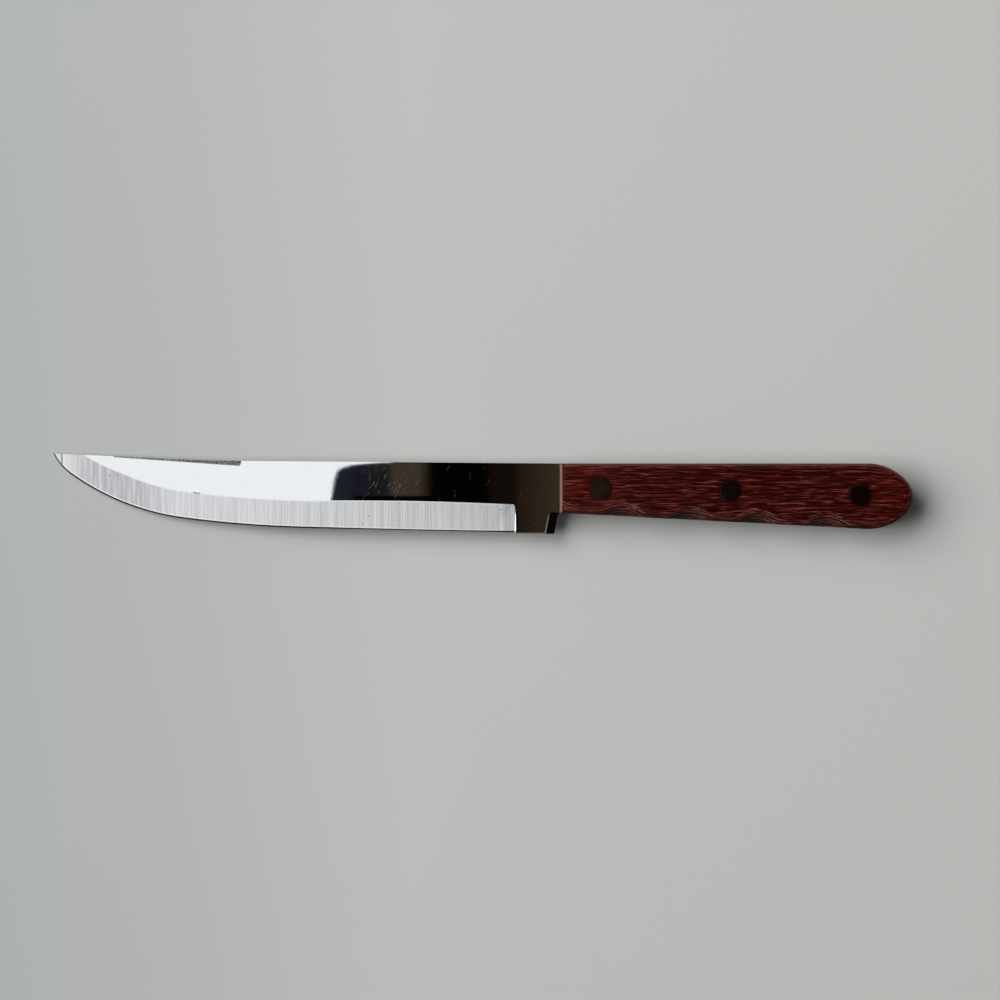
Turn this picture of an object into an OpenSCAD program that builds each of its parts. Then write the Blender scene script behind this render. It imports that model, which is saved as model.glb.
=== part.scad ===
// Kitchen carving knife: a full-tang blade between two wooden scales, held by three two-part rivets.
// It lies on its left scale: tip toward -X, butt toward +X, spine toward +Y, right scale up.
// Headings are in degrees, counter-clockwise from +X. Every outline is a walk: straights joined by tangent
// arcs to the right. The blank, the scales and the grinding cutters all take their points from these walks.

/* [Blade] */
// Length of the blade, from the tip to the front of the scales
blade_len = 180.6; // [150:0.2:210]
// Thickness of the flat stock of blade and tang
stock_t = 1.9; // [1.4:0.1:2.6]
// Depth of the edge below the spine line, where the bevel starts
edge_depth = 24.5; // [21:0.1:27]
// Slope of the long straight part of the spine, in degrees
spine_rise = 0.48; // [0.1:0.02:1]
// Slope of the upswept end of the spine, in degrees
sweep_rise = 2.7; // [1.5:0.1:4]
// Length of the upswept end of the spine
sweep_len = 45; // [30:1:60]
// Radius that joins the two slopes of the spine
spine_radius = 500; // [200:10:900]

/* [Edge curve] */
// Slope of the straight part of the edge, in degrees
edge_rise = 1.18; // [0.8:0.02:2]
// Radius of the long curve that leads into the belly
lead_radius = 405; // [320:5:550]
// Turn of the long curve, in degrees
lead_turn = 6.3; // [4:0.1:8]
// Radius of the belly
belly_radius = 89.5; // [75:0.5:110]
// Turn of the belly, in degrees
belly_turn = 28; // [22:0.1:33]
// Radius of the last curve, up to the tip
tip_radius = 20; // [15:0.5:40]

/* [Bevels] */
// Width of the main bevel round the belly
bevel_w = 9.8; // [7.5:0.1:11.5]
// Extra width of the main bevel where it is widest, toward the heel
bevel_flare = 0.6; // [0.2:0.1:1.2]
// How much narrower the main bevel gets by the tip
bevel_narrowing = 4.4; // [0:0.1:5]
// Thickness that the main bevel leaves at the edge, round the belly
edge_t = 0.34; // [0.26:0.02:0.5]
// Corner radius of the grinding wheel where the main bevel stops
plunge_radius = 1; // [0.4:0.1:2]
// Thickness of the honed edge
honed_t = 0.04; // [0.03:0.01:0.05]
// Honing angle on each side, in degrees
hone_angle = 20; // [15:1:25]
// Distance from the tip to the rear end of the false edge
false_edge_back = 67; // [55:0.5:80]
// Length of the false edge on the spine
false_edge_len = 45; // [30:1:50]
// Width of the false edge at its rear end
false_edge_w = 1.5; // [0.8:0.1:1.8]
// Slant of the false edge, in degrees
false_edge_tilt = 25; // [15:1:26]
// Corner radius at the rear end of the false edge
false_edge_corner = 0.7; // [0.3:0.1:0.8]

/* [Heel] */
// Distance from the scales to where the main bevel stops
bevel_start = 15.6; // [10:0.1:22]
// How far the unground heel stands below the edge
heel_drop = 0.5; // [0.3:0.1:2]
// Gap between the scales and the rear corner of the heel
heel_gap = 2; // [1.5:0.1:4]
// Radius of the hollow between the heel and the tang
choil_radius = 1.6; // [1:0.1:2]
// Lean of the heel's rear wall from upright, in degrees
heel_lean = 10.6; // [4:0.2:14]
// Width of the facet ground along the heel's rear wall
relief_w = 3; // [1.8:0.1:3.2]
// Slant of that facet, in degrees
relief_tilt = 12; // [8:1:16]

/* [Handle] */
// Length of the handle
handle_len = 125; // [115:1:140]
// Height of the handle at its front
handle_front_h = 17.6; // [15:0.1:20]
// Slope of the handle's lower side, in degrees
handle_flare = 3; // [2:0.1:4]
// Radius of the end of the butt
butt_radius = 8.75; // [6:0.25:10]
// Angle that the end curve of the butt spans, in degrees
butt_turn = 90; // [70:1:100]
// Thickness of each scale
scale_t = 6.3; // [5:0.1:8]
// Radius of the rounding round the scales
scale_round = 1.5; // [0.6:0.1:2.2]
// Chamfer across the front of each scale
scale_chamfer = 1.2; // [0.4:0.1:2]

/* [Finger grooves] */
// Number of finger grooves in each scale
groove_count = 4; // [0:1:4]
// Distance from the front of the scales to the first groove
groove_first = 21.7; // [18:0.1:24]
// Distance between grooves
groove_pitch = 24.2; // [21:0.1:25]
// How far a groove reaches over the face and down the side of a scale
groove_reach = 3.8; // [2.5:0.1:4.4]
// Radius of a groove
groove_radius = 10.8; // [8:0.1:13]
// Slant of a groove over the lower corner of a scale, in degrees
groove_tilt = 45; // [35:1:55]

/* [Rivets] */
// Diameter of the rivet heads
head_d = 7.2; // [6:0.1:8.5]
// Thickness of the rivet heads
head_t = 1.3; // [0.8:0.1:2]
// Outer diameter of the female half's tube
tube_d = 4.8; // [4.2:0.1:5.6]
// Diameter of the male half's shank
shank_d = 3.2; // [2.4:0.1:3.6]
// Distance from the front of the scales to the front rivet
rivet_front_x = 14.4; // [10:0.1:18]
// Distance from the butt to the rear rivet
rivet_rear_x = 18.8; // [15:0.1:24]
// Depth of the front rivet below the top of the handle
rivet_front_y = 8.9; // [7:0.1:10]
// Depth of the middle rivet below the top of the handle
rivet_middle_y = 9.7; // [8:0.1:12]
// Depth of the rear rivet below the top of the handle
rivet_rear_y = 11.4; // [9:0.1:13]

/* [Fits] */
// Radial clearance between a tube or a head and its hole
hole_clearance = 0.05; // [0.02:0.01:0.15]
// Radial clearance between a shank and the tube round it
shank_clearance = 0.02; // [0.01:0.01:0.05]
// How far the rivet heads are sunk below the face of the scales
head_sink = 0.05; // [0.02:0.01:0.2]
// Gap between the end of a shank and the bottom of its tube
shank_end_gap = 0.6; // [0.3:0.1:1]
// Gap between the end of a tube and the head of the male half
tube_end_gap = 1.2; // [0.6:0.1:3]

/* [Hidden] */

STEEL = "#c9cccf";
WOOD = "#4a1a14";
NICKEL_SILVER = "#8d8577";

GROOVE_FN = 180;
BORE_FN = 72;
CHORD_ERROR = 0.01; // how far a chord of an outline may lie inside its arc
PLUNGE_STEPS = 4;
FLARE_STEPS = 8;
ROUND_STEPS = 5;
over = 1; // how far a cutter passes through what it cuts
half_t = stock_t / 2;
half_w = half_t + scale_t;
heel_depth = edge_depth + heel_drop;

// ---- Walks: a pose is [point, heading], and a leg is [straight length, arc radius, turn to the right]

function ahead(a) = [cos(a), sin(a)];
function right_of(a) = [sin(a), -cos(a)];
function arc_centre(pose, leg) = pose[0] + leg[0] * ahead(pose[1]) + leg[1] * right_of(pose[1]);
function after(pose, leg) = [
    arc_centre(pose, leg) - leg[1] * right_of(pose[1] - leg[2]),
    pose[1] - leg[2],
];
function pose_at(start, legs, i) = i == 0 ? start : after(pose_at(start, legs, i - 1), legs[i - 1]);
function arc_steps(leg) = leg[2] > 0 ? ceil(leg[2] / (2 * acos(1 - CHORD_ERROR / leg[1]))) : 1;

// The poses along a walk: its corners, and points along its arcs
function walk(start, legs) = concat([start], [
    for (i = [0:len(legs) - 1])
        for (k = [legs[i][0] > 0 ? 0 : 1:legs[i][2] > 0 ? arc_steps(legs[i]) : 0])
            after(pose_at(start, legs, i), [legs[i][0], legs[i][1], legs[i][2] * k / arc_steps(legs[i])])
]);

module both_sides() {
    children();
    mirror([0, 0, 1]) children();
}

// Joins rings of points, all with as many points, into one solid
module loft(rings) {
    n = len(rings[0]);
    last = (len(rings) - 1) * n;
    polyhedron(
        points = [for (ring = rings) each ring],
        faces = concat(
            [[for (j = [0:n - 1]) j], [for (j = [n - 1:-1:0]) last + j]],
            [
                for (i = [0:len(rings) - 2], j = [0:n - 1])
                    [i * n + j, (i + 1) * n + j, (i + 1) * n + (j + 1) % n, i * n + (j + 1) % n]
            ]
        )
    );
}

// A rectangle from the origin toward +X and -Y, with its corner at the origin rounded
module cornered(size, radius) {
    polygon([[radius, 0], [size.x, 0], [size.x, -size.y], [0, -size.y], [0, -radius]]);
    translate([radius, -radius]) circle(radius, $fn = BORE_FN);
}

// A facet that falls away from the face of the stock along the X axis, toward -Y
module ground_facet(run, reach, tilt, corner) {
    translate([0, 0, half_t]) rotate([tilt, 0, 0]) linear_extrude(stock_t) cornered([run, reach], corner);
}

// ---- Spine: from the handle to the tip, so the body is on the left of the walk

spine_turn = sweep_rise - spine_rise;
spine_run = (blade_len - sweep_len * cos(sweep_rise)
    - spine_radius * (sin(sweep_rise) - sin(spine_rise))) / cos(spine_rise);
spine_start = [[0, 0], 180 - spine_rise];
spine_bend = [spine_run, spine_radius, spine_turn];
spine_walk = walk(spine_start, [spine_bend, [sweep_len, 0, 0]]);
sweep_start = after(spine_start, spine_bend);
tip = sweep_start[0] + sweep_len * ahead(sweep_start[1]);

function spine_y(x) =
    x < sweep_start[0].x ? tip.y - (x - tip.x) * tan(sweep_rise)
    : x < -spine_run * cos(spine_rise) ? arc_centre(spine_start, spine_bend).y
        - sqrt(spine_radius ^ 2 - (x - arc_centre(spine_start, spine_bend).x) ^ 2)
    : -x * tan(spine_rise);

// ---- Edge: from the heel to the tip, with the body on the right of the walk.
// The straight is as long as it must be for the last curve to end at the tip.

edge_heading = 180 - edge_rise;
belly_heading = edge_heading - lead_turn;
tip_heading = belly_heading - belly_turn;
edge_origin = [-bevel_start, -edge_depth];
tip_offset = tip - edge_origin - lead_radius * right_of(edge_heading)
    - (belly_radius - lead_radius) * right_of(belly_heading)
    - (tip_radius - belly_radius) * right_of(tip_heading);
tip_along = tip_offset * ahead(edge_heading);
edge_run = tip_along - sqrt(tip_along ^ 2 - tip_offset * tip_offset + tip_radius ^ 2);
tip_normal = (edge_run * ahead(edge_heading) - tip_offset) / tip_radius;
tip_turn = tip_heading - atan2(tip_normal.x, -tip_normal.y);
tip_overrun = 6; // extra turn, in degrees, that carries the cutters past the tip
edge_start = [edge_origin, edge_heading];
edge_legs = [
    [edge_run, lead_radius, lead_turn],
    [0, belly_radius, belly_turn],
    [0, tip_radius, tip_turn],
];
edge_walk = walk(edge_start, edge_legs);
cutter_walk = walk(edge_start, concat(edge_legs, [[0, tip_radius, tip_overrun]]));

// ---- Main bevel: rings of a cutter, one at each station of the edge. It falls at one slope along the
// straight, where it swells toward the heel, and round the belly. It narrows and gets steeper to the tip.

cutter_top = half_t + plunge_radius + over;

function bevel_fall(width) = (half_t - edge_t / 2) / width;
function bevel_ring(pose, width, fall, lift = 0) = [
    for (corner = [
        [width + over, half_t + over * fall + lift],
        [-over, half_t - (width + over) * fall + lift],
        [-over, cutter_top],
        [width + over, cutter_top],
    ])
        let (spot = pose[0] + corner.x * right_of(pose[1])) [spot.x, spot.y, corner.y]
];

narrowing_lead = 11; // turn, in degrees, over which the bevel already narrows before the last curve
flare_span = 172; // part of a wave, in degrees, that the bevel swells and falls along the straight

// The width at a distance along the straight
function straight_w(u) = bevel_w + bevel_flare * sin(flare_span * (1 - u / edge_run));
// The width at a station past the straight
function bevel_w_at(pose) = bevel_w
    - bevel_narrowing * max(0, tip_heading + narrowing_lead - pose[1]) / (tip_turn + narrowing_lead);
// The wheel's rounded corner lifts the bevel where it stops
function plunge_lift(u) = plunge_radius - sqrt(plunge_radius ^ 2 - max(0, plunge_radius - u) ^ 2);

bevel_rings = concat(
    [
        for (u = concat(
            [for (k = [0:PLUNGE_STEPS]) plunge_radius * (1 - cos(90 * k / PLUNGE_STEPS))],
            [for (k = [1:FLARE_STEPS - 1]) edge_run * k / FLARE_STEPS]))
            bevel_ring(
                [edge_origin + u * ahead(edge_heading), edge_heading],
                straight_w(u), bevel_fall(bevel_w), plunge_lift(u))
    ],
    [
        for (i = [1:len(cutter_walk) - 1])
            let (width = bevel_w_at(cutter_walk[i])) bevel_ring(cutter_walk[i], width, bevel_fall(width))
    ]
);

function hone_ring(pose) = [
    for (corner = [
        [edge_t / tan(hone_angle), honed_t / 2 + edge_t],
        [0, honed_t / 2],
        [-over, honed_t / 2],
        [-over, honed_t / 2 + edge_t],
    ])
        let (spot = pose[0] + corner.x * right_of(pose[1])) [spot.x, spot.y, corner.y]
];

// ---- Handle: clockwise from its front top corner, with the body on the right of the walk

// outward direction where the upper side curve meets the end curve
side_heading = (butt_turn - handle_flare) / 2;
butt_centre_x = handle_len - butt_radius;
butt_depth = (butt_centre_x + handle_front_h / tan(handle_flare)) * tan(handle_flare / 2);
side_radius = (butt_depth - butt_radius * sin(side_heading)) / (1 - sin(side_heading));
top_run = butt_centre_x - (side_radius - butt_radius) * cos(side_heading);
bottom_run = top_run - handle_front_h * (1 / sin(handle_flare) - 1 / tan(handle_flare));
handle_walk = walk([[0, 0], 0], [
    [top_run, side_radius, 90 - side_heading],
    [0, butt_radius, butt_turn],
    [0, side_radius, 90 - side_heading],
    [bottom_run, 0, 0],
]);

function handle_bottom(x) = -handle_front_h - x * tan(handle_flare);

// ---- Choil: from the rear corner of the heel up its rear wall, and round into the lower side of the tang

heel_corner = [-heel_gap, -heel_depth];
wall_heading = 90 - heel_lean;
// the wall would meet the lower side of the tang this far up
wall_run = (handle_bottom(heel_corner.x) - heel_corner.y)
    / (sin(wall_heading) + cos(wall_heading) * tan(handle_flare));
choil_turn = wall_heading + handle_flare;
choil_walk = walk([heel_corner, wall_heading],
    [[wall_run - choil_radius * tan(choil_turn / 2), choil_radius, choil_turn]]);

// ---- Rivets, as [distance from the front, depth below the top]

rivet_end_x = handle_len - rivet_rear_x;
FRONT = [rivet_front_x, -rivet_front_y];
MIDDLE = [(rivet_front_x + rivet_end_x) / 2, -rivet_middle_y];
REAR = [rivet_end_x, -rivet_rear_y];
head_floor = half_w - head_sink - head_t; // height of the seat under a head
tube_hole_d = tube_d + 2 * hole_clearance;
head_hole_d = head_d + 2 * hole_clearance;

// Puts the part on the ground, centred on its length and its depth
module placed() {
    translate([(blade_len - handle_len) / 2, (heel_depth - tip.y) / 2, half_w]) children();
}

// ---- Blade

// The flat blank of blade and tang, before grinding
module blank() {
    linear_extrude(stock_t, center = true)
        polygon(concat(
            [for (pose = edge_walk) pose[0]],
            [for (i = [len(spine_walk) - 2:-1:1]) spine_walk[i][0]],
            [for (i = [0:len(handle_walk) - 2]) handle_walk[i][0]],
            [for (i = [len(choil_walk) - 1:-1:0]) choil_walk[i][0]],
            [[-bevel_start, -heel_depth]]
        ));
}

// The relief: a slanted facet along the heel's rear wall, rounded off below the tang
module relief_cut() {
    top = heel_corner + wall_run * ahead(wall_heading) - relief_w * right_of(wall_heading);
    both_sides()
        translate(top) rotate(wall_heading) mirror([1, 0, 0])
            ground_facet(wall_run + over, relief_w + choil_radius + over, relief_tilt, choil_radius);
}

// The false edge: a slanted facet that starts at the spine and widens to the rear
module false_edge_cut() {
    rear_x = tip.x + false_edge_back;
    rear = [rear_x, spine_y(rear_x) - false_edge_w];
    front_x = rear_x - false_edge_len;
    line = [front_x, spine_y(front_x)] - rear;
    both_sides()
        translate(rear) rotate(atan2(line.y, line.x))
            ground_facet(norm(line) + over, false_edge_w + over, false_edge_tilt, false_edge_corner);
}

module blade() {
    color(STEEL) placed()
        difference() {
            blank();
            both_sides() loft(bevel_rings);
            both_sides() loft([for (pose = cutter_walk) hone_ring(pose)]);
            false_edge_cut();
            relief_cut();
            for (spot = [FRONT, MIDDLE, REAR])
                translate(spot)
                    cylinder(d = tube_hole_d, h = stock_t + 2 * over, center = true, $fn = BORE_FN);
        }
}

// ---- Scales, drawn as the right one, from the tang outward

// The outline of the handle at one height, drawn in from the tang's outline all round and from the front
function scale_ring(inset, front, z) = concat(
    [[front, -inset, z]],
    [
        for (i = [1:len(handle_walk) - 2])
            let (spot = handle_walk[i][0] + inset * right_of(handle_walk[i][1])) [spot.x, spot.y, z]
    ],
    [[front, handle_bottom(front) + inset / cos(handle_flare), z]]
);

// How far the rounding draws the outline in at a height, and how far the front chamfer does
function round_inset(z) = scale_round - sqrt(scale_round ^ 2 - max(0, z - half_w + scale_round) ^ 2);
function chamfer_inset(z) = max(0, z - half_w + scale_chamfer);

// Heights of the rings, from the face down to the tang
round_levels = [for (k = [0:ROUND_STEPS]) half_w - scale_round * (1 - cos(90 * k / ROUND_STEPS))];
chamfer_level = half_w - scale_chamfer;
scale_levels = concat(
    [for (z = round_levels) if (z > chamfer_level) z],
    [chamfer_level],
    [for (z = round_levels) if (z < chamfer_level) z],
    [half_t]
);
scale_rings = [for (z = scale_levels) scale_ring(round_inset(z), chamfer_inset(z), z)];

module finger_groove_cut() {
    // the cutter's axis lies this far outside the corner, so that it reaches groove_reach over the face
    off = groove_radius - groove_reach * sin(groove_tilt);
    for (i = [0:1:groove_count - 1]) {
        x = groove_first + i * groove_pitch;
        translate([x, handle_bottom(x) - off * sin(groove_tilt), half_w + off * cos(groove_tilt)])
            rotate(-handle_flare) rotate([-groove_tilt, 0, 0])
                cylinder(r = groove_radius, h = 2 * groove_radius, center = true, $fn = GROOVE_FN);
    }
}

module rivet_hole_cut() {
    cylinder(d = tube_hole_d, h = half_w + over, $fn = BORE_FN);
    translate([0, 0, head_floor]) cylinder(d = head_hole_d, h = half_w, $fn = BORE_FN);
}

module scale() {
    difference() {
        loft(scale_rings);
        finger_groove_cut();
        for (spot = [FRONT, MIDDLE, REAR]) translate(spot) rivet_hole_cut();
    }
}

module scale_right() {
    color(WOOD) placed() scale();
}

module scale_left() {
    color(WOOD) placed() mirror([0, 0, 1]) scale();
}

// ---- Rivets: the male half drops in from the right, and the female half comes up from the left

module rivet_head() {
    translate([0, 0, head_floor]) cylinder(d = head_d, h = head_t, $fn = BORE_FN);
}

module rivet_male(spot) {
    color(NICKEL_SILVER) placed() translate(spot) {
        rivet_head();
        translate([0, 0, shank_end_gap - head_floor])
            cylinder(d = shank_d, h = 2 * head_floor + head_t / 2 - shank_end_gap, $fn = BORE_FN);
    }
}

module rivet_female(spot) {
    tube_top = head_floor - tube_end_gap;
    color(NICKEL_SILVER) placed() translate(spot)
        difference() {
            union() {
                mirror([0, 0, 1]) rivet_head();
                translate([0, 0, -head_floor - head_t / 2])
                    cylinder(d = tube_d, h = tube_top + head_floor + head_t / 2, $fn = BORE_FN);
            }
            translate([0, 0, -head_floor])
                cylinder(d = shank_d + 2 * shank_clearance, h = tube_top + head_floor + over, $fn = BORE_FN);
        }
}

blade();
scale_right();
scale_left();
rivet_male(FRONT);  // rivet_front_male
rivet_female(FRONT);  // rivet_front_female
rivet_male(MIDDLE);  // rivet_middle_male
rivet_female(MIDDLE);  // rivet_middle_female
rivet_male(REAR);  // rivet_rear_male
rivet_female(REAR);  // rivet_rear_female
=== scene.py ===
"""Dresses the carving knife: ground and polished steel, veneer scales and flush nickel-silver rivets.

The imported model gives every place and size. Lengths are in metres, and angles are in degrees.
"""

import logging
import math
from dataclasses import dataclass, field
from enum import Enum
from functools import partialmethod

import bmesh
import bpy
import numpy as np
from mathutils import Matrix, Vector


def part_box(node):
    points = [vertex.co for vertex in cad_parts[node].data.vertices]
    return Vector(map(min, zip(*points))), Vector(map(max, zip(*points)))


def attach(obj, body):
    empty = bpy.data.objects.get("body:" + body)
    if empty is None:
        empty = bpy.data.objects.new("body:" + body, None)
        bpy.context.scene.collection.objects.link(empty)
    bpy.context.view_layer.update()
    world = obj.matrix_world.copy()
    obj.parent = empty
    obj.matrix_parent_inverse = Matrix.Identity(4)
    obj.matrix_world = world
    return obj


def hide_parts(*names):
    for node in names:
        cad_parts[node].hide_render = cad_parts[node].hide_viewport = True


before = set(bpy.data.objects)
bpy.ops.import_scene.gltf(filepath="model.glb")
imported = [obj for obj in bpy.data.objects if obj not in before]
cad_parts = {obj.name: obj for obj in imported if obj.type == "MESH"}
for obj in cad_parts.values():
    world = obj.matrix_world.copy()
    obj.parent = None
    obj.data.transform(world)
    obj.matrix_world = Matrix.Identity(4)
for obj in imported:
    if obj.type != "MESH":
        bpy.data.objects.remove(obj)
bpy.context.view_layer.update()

MM = 0.001
FLAT = (1, 1, 0)  # factors that leave the height out
TURNED_SEGMENTS = 96  # segments round a rivet or its hole
MERGE = 0.001 * MM  # points closer than this are one
LOG = logging.getLogger("carving_knife")

Colour = tuple[float, float, float]
Spot = tuple[float, float, float]
Span = tuple[float, float]
Outline = tuple[np.ndarray, np.ndarray]
BMesh = bmesh.types.BMesh
Object = bpy.types.Object


# ---------------------------------------------------------------- small helpers


def tone(red: float, green: float, blue: float) -> Colour:
    """Turns a display colour, from 0 to 255, into the linear colour that a shader takes."""
    parts = (value / 255 for value in (red, green, blue))
    return tuple(p / 12.92 if p <= 0.04045 else ((p + 0.055) / 1.055) ** 2.4 for p in parts)


def ahead(heading: float) -> np.ndarray:
    """The unit vector along a heading, in degrees from +X."""
    return np.array([math.cos(math.radians(heading)), math.sin(math.radians(heading))])


def right_of(heading: float) -> np.ndarray:
    """The unit vector to the right of a heading."""
    return ahead(heading - 90)


@dataclass(frozen=True)
class Leg:
    """One leg of an outline: a straight, then a tangent arc to the right."""

    run: float
    radius: float = 0.0
    turn: float = 0.0

    def points(self, start: np.ndarray, heading: float, spacing: float) -> list[tuple[np.ndarray, float]]:
        """Lays points along the leg.

        Args:
            start: Where the leg starts.
            heading: The heading at its start.
            spacing: The widest gap between points.

        Returns:
            Pairs of point and heading, without the start and with the end.
        """
        steps = max(1, math.ceil(self.run / spacing)) if self.run else 0
        found = [(start + ahead(heading) * self.run * (k + 1) / steps, heading) for k in range(steps)]
        arc = math.radians(self.turn) * self.radius
        centre = start + ahead(heading) * self.run + right_of(heading) * self.radius
        steps = max(1, math.ceil(arc / spacing)) if arc else 0
        turns = [heading - self.turn * (k + 1) / steps for k in range(steps)]
        return found + [(centre - right_of(turned) * self.radius, turned) for turned in turns]


def in_scene(name: str, data: bpy.types.ID) -> Object:
    """Makes an object and links it to the scene.

    Args:
        name: The object's name.
        data: Its mesh, lamp or camera.

    Returns:
        The object.
    """
    made = bpy.data.objects.new(name, data)
    bpy.context.scene.collection.objects.link(made)
    return made


def from_bmesh(name: str, bm: BMesh) -> Object:
    """Makes an object of a bmesh.

    Args:
        name: The object's name.
        bm: The geometry, which is freed.

    Returns:
        The object.
    """
    mesh = bpy.data.meshes.new(name)
    bm.to_mesh(mesh)
    bm.free()
    return in_scene(name, mesh)


def new_piece(bm: BMesh, node: str, finishes: list["Finish"]) -> Object:
    """Makes the piece that stands for a CAD node.

    Args:
        bm: The piece's geometry, in the knife's own frame, which is freed.
        node: The CAD node that it stands for.
        finishes: Its finishes, in the order of the material list.

    Returns:
        The new object.
    """
    piece = from_bmesh(node + "_finished", bm)
    for finish in finishes:
        piece.data.materials.append(finish.material())
    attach(piece, "root")
    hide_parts(node)
    return piece


def soften(bm: BMesh, limit: float, faces: bool = True) -> None:
    """Shades a bmesh smoothly, and keeps it crisp at its sharp edges.

    Args:
        bm: The geometry, which is changed.
        limit: Edges that turn by more than this stay crisp.
        faces: Whether the faces turn smooth too.
    """
    for face in bm.faces:
        face.smooth = face.smooth or faces
    for edge in bm.edges:
        edge.smooth = edge.is_manifold and edge.calc_face_angle(0) < math.radians(limit)


# ---------------------------------------------------------------- shader tools


class Field:
    """A shader value that changes over a surface, open to plain arithmetic."""

    def __init__(self, kit: "Nodes", socket: bpy.types.NodeSocket) -> None:
        """Takes the tools of the value's tree, and its socket."""
        self.kit, self.socket = kit, socket

    def math(self, operation: str, other: object = 0.0) -> "Field":
        """The result of a Math node on this and another number."""
        return self.kit.math(operation, self, other)

    def vector(self, operation: str, other: object) -> "Field":
        """The result of a Vector Math node, which is a number for a distance or a dot product."""
        output = "Value" if operation in ("DISTANCE", "DOT_PRODUCT") else "Vector"
        return self.kit.get("VectorMath", output, {0: self, 1: other}, operation=operation)

    __add__ = partialmethod(math, "ADD")
    __sub__ = partialmethod(math, "SUBTRACT")
    __mul__ = partialmethod(math, "MULTIPLY")
    __truediv__ = partialmethod(math, "DIVIDE")
    __abs__ = partialmethod(math, "ABSOLUTE")
    most = partialmethod(math, "MAXIMUM")
    least = partialmethod(math, "MINIMUM")
    below = partialmethod(math, "LESS_THAN")
    apart = partialmethod(vector, "DISTANCE")

    def __rsub__(self, other: float) -> "Field":
        """What is left of a plain number."""
        return self.kit.math("SUBTRACT", other, self)

    def fit(self, low: float, high: float, to_low: object = 0.0, to_high: object = 1.0,
            smooth: bool = False) -> "Field":
        """Maps the range from low to high to another, holds its ends, and eases them where smooth."""
        inputs = {"Value": self, "From Min": low, "From Max": high, "To Min": to_low, "To Max": to_high}
        return self.kit.get("MapRange", 0, inputs, interpolation_type="SMOOTHSTEP" if smooth else "LINEAR")

    def split(self) -> list["Field"]:
        """The X, Y and Z of a vector."""
        return [Field(self.kit, part) for part in self.kit.add("SeparateXYZ", {0: self}).outputs]

    def turned(self, angle: object) -> "Field":
        """A vector turned about Z, by an angle in radians."""
        return self.kit.get("VectorRotate", 0, {"Vector": self, "Angle": angle}, rotation_type="Z_AXIS")

    def placed(self, scale: Spot, turn: float = 0.0) -> "Field":
        """A vector turned about Z and then scaled."""
        return self.turned(math.radians(turn)).vector("MULTIPLY", scale)

    def mix(self, a: object, b: object) -> "Field":
        """A mix of two colours, where this is the share of the second."""
        return self.kit.get("Mix", 2, {0: self, 6: a, 7: b}, data_type="RGBA")

    def blend(self, a: object, b: object) -> "Field":
        """A mix of two numbers, where this is the share of the second."""
        return self.kit.get("Mix", 0, {0: self, 2: a, 3: b}, data_type="FLOAT")

    def bump(self, depth: float, strength: object = 1.0) -> "Field":
        """The normal over this height, from 0 to 1, where 1 stands for a depth."""
        return self.kit.get("Bump", "Normal", {"Height": self, "Distance": depth, "Strength": strength})

    def cells(self, scale: object) -> dict[str, "Field"]:
        """The outputs of a texture that divides space into uneven cells, by name."""
        node = self.kit.add("TexVoronoi", {"Vector": self, "Scale": scale}, feature="F1")
        return {name: Field(self.kit, node.outputs[name]) for name in ("Distance", "Color", "Position")}

    def noise(self, scale: float, detail: float = 2.0, rough: float = 0.5) -> "Field":
        """Noise at a point, by its scale, its octaves and how strong the finer octaves are."""
        inputs = {"Vector": self, "Scale": scale, "Detail": detail, "Roughness": rough}
        return self.kit.get("TexNoise", "Fac", inputs)


class Nodes:
    """Short names for adding shader nodes to a tree."""

    def __init__(self, tree: bpy.types.NodeTree) -> None:
        """Takes the tree that gets the nodes."""
        self.tree = tree

    def add(self, kind: str, inputs: dict | None = None, **settings: object) -> bpy.types.Node:
        """Adds a node, sets its properties and feeds its inputs.

        Args:
            kind: The node's type, without the word that shader nodes start with.
            inputs: Values or fields, by the input's name or number.
            **settings: Properties of the node.

        Returns:
            The node.
        """
        node = self.tree.nodes.new(kind if kind.startswith("NodeGroup") else "ShaderNode" + kind)
        for name, value in settings.items():
            setattr(node, name, value)
        for name, value in (inputs or {}).items():
            self.feed(node.inputs[name], value)
        return node

    def get(self, kind: str, output: str | int, inputs: dict | None = None, **settings: object) -> Field:
        """Adds a node, and takes one of its outputs by name or number."""
        return Field(self, self.add(kind, inputs, **settings).outputs[output])

    def feed(self, socket: bpy.types.NodeSocket, value: object) -> None:
        """Links a socket to a field, or sets its value.

        Args:
            socket: The socket.
            value: A field, a number, a vector or a colour.
        """
        if isinstance(value, Field):
            self.tree.links.new(value.socket, socket)
        elif isinstance(value, tuple) and socket.type == "RGBA":
            socket.default_value = (*value, 1.0)
        else:
            socket.default_value = value

    def math(self, operation: str, a: object, b: object = 0.0) -> Field:
        """A Math node's result."""
        return self.get("Math", 0, {0: a, 1: b}, operation=operation)

    def combine(self, x: object, y: object, z: object = 0.0) -> Field:
        """A vector of three numbers."""
        return self.get("CombineXYZ", 0, {0: x, 1: y, 2: z})


def bare_tree(block: bpy.types.Material | bpy.types.World) -> Nodes:
    """Empties the node tree of a material or a world.

    Args:
        block: The material or world.

    Returns:
        What adds nodes to it.
    """
    block.use_nodes = True
    block.node_tree.nodes.clear()
    return Nodes(block.node_tree)


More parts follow.
